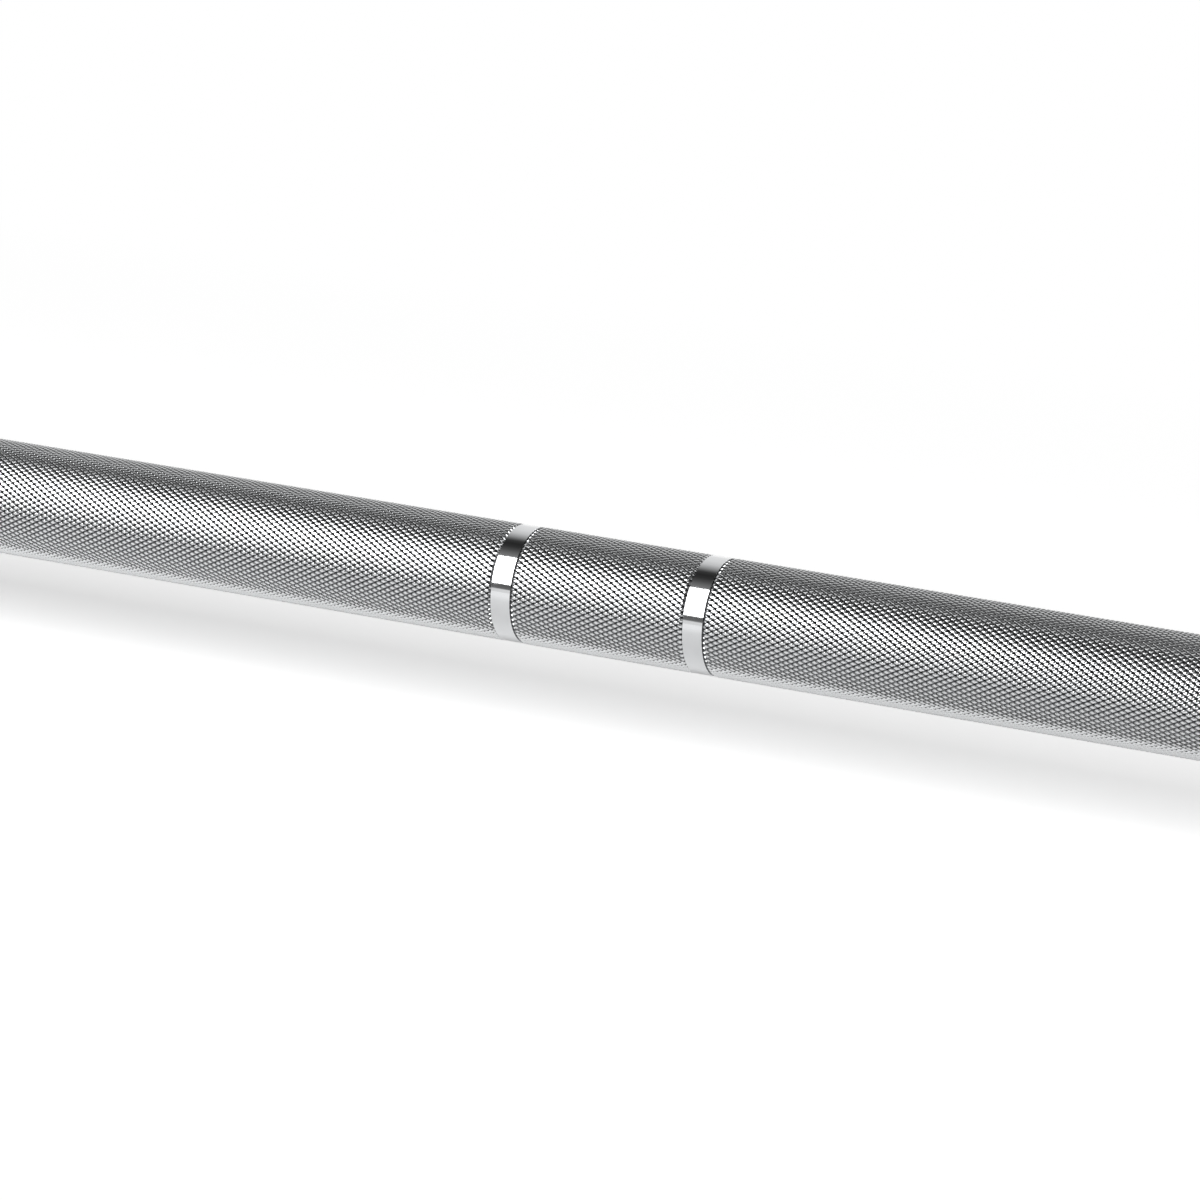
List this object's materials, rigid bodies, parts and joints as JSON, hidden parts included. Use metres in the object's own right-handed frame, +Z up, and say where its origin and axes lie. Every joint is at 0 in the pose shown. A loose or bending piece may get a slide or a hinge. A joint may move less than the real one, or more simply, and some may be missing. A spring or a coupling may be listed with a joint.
{
  "type": "olympic barbell",
  "caption": "Long knurled chrome steel bar with grip marks and a plain rotating plate sleeve and stop collar at each end.",
  "frame": {"origin": "middle of the shaft, on its axis, halfway between the two sleeve ends", "axes": "+X along the bar towards the right sleeve, +Y across it, +Z up"},
  "size_m": [2.2, 0.073, 0.073],
  "materials": {
    "shaft_chrome": "polished hard chrome over a rolled diamond knurl",
    "sleeve_chrome": "bright chrome over fine turning marks",
    "cap_steel": "turned steel, satin",
    "bearing_steel": "ground bearing steel",
    "spring_steel": "blackened spring steel, oiled",
    "bronze": "sintered bronze, oiled",
    "rubber": "black nitrile rubber"
  },
  "bodies": {
    "shaft": {"shaft": "shaft_chrome", "left_thrust_washer": "spring_steel", "left_shaft_clip": "spring_steel", "right_thrust_washer": "spring_steel", "right_shaft_clip": "spring_steel"},
    "left_sleeve": {"left_sleeve": "sleeve_chrome", "left_collar": "sleeve_chrome", "left_dust_seal": "rubber", "left_inner_bushing": "bronze", "left_inner_bearing_cup": "bearing_steel", "left_outer_bearing_cup": "bearing_steel", "left_outer_bushing": "bronze", "left_end_cap": "cap_steel", "left_cap_o_ring": "rubber", "left_cap_clip": "spring_steel"},
    "left_inner_bearing": {"left_inner_bearing_cage": "bearing_steel", "left_inner_bearing_needles": "bearing_steel"},
    "left_outer_bearing": {"left_outer_bearing_cage": "bearing_steel", "left_outer_bearing_needles": "bearing_steel"},
    "right_sleeve": {"right_sleeve": "sleeve_chrome", "right_collar": "sleeve_chrome", "right_dust_seal": "rubber", "right_inner_bushing": "bronze", "right_inner_bearing_cup": "bearing_steel", "right_outer_bearing_cup": "bearing_steel", "right_outer_bushing": "bronze", "right_end_cap": "cap_steel", "right_cap_o_ring": "rubber", "right_cap_clip": "spring_steel"},
    "right_inner_bearing": {"right_inner_bearing_cage": "bearing_steel", "right_inner_bearing_needles": "bearing_steel"},
    "right_outer_bearing": {"right_outer_bearing_cage": "bearing_steel", "right_outer_bearing_needles": "bearing_steel"}
  },
  "joints": [
    {"name": "left_sleeve_spin", "type": "hinge", "parent": "shaft", "child": "left_sleeve", "pos_m": [-0.8775, 0, 0], "axis": [1, 0, 0], "continuous": true},
    {"name": "left_inner_bearing_roll", "type": "hinge", "parent": "shaft", "child": "left_inner_bearing", "pos_m": [-0.70065, 0, 0], "axis": [1, 0, 0], "continuous": true},
    {"name": "left_outer_bearing_roll", "type": "hinge", "parent": "shaft", "child": "left_outer_bearing", "pos_m": [-1.029, 0, 0], "axis": [1, 0, 0], "continuous": true},
    {"name": "right_sleeve_spin", "type": "hinge", "parent": "shaft", "child": "right_sleeve", "pos_m": [0.8775, 0, 0], "axis": [1, 0, 0], "continuous": true},
    {"name": "right_inner_bearing_roll", "type": "hinge", "parent": "shaft", "child": "right_inner_bearing", "pos_m": [0.70065, 0, 0], "axis": [1, 0, 0], "continuous": true},
    {"name": "right_outer_bearing_roll", "type": "hinge", "parent": "shaft", "child": "right_outer_bearing", "pos_m": [1.029, 0, 0], "axis": [1, 0, 0], "continuous": true}
  ],
  "couplings": [
    {"joint": "left_inner_bearing_roll", "follows": "left_sleeve_spin", "ratio": 0.54545},
    {"joint": "left_outer_bearing_roll", "follows": "left_sleeve_spin", "ratio": 0.54545},
    {"joint": "right_inner_bearing_roll", "follows": "right_sleeve_spin", "ratio": 0.54545},
    {"joint": "right_outer_bearing_roll", "follows": "right_sleeve_spin", "ratio": 0.54545}
  ]
}
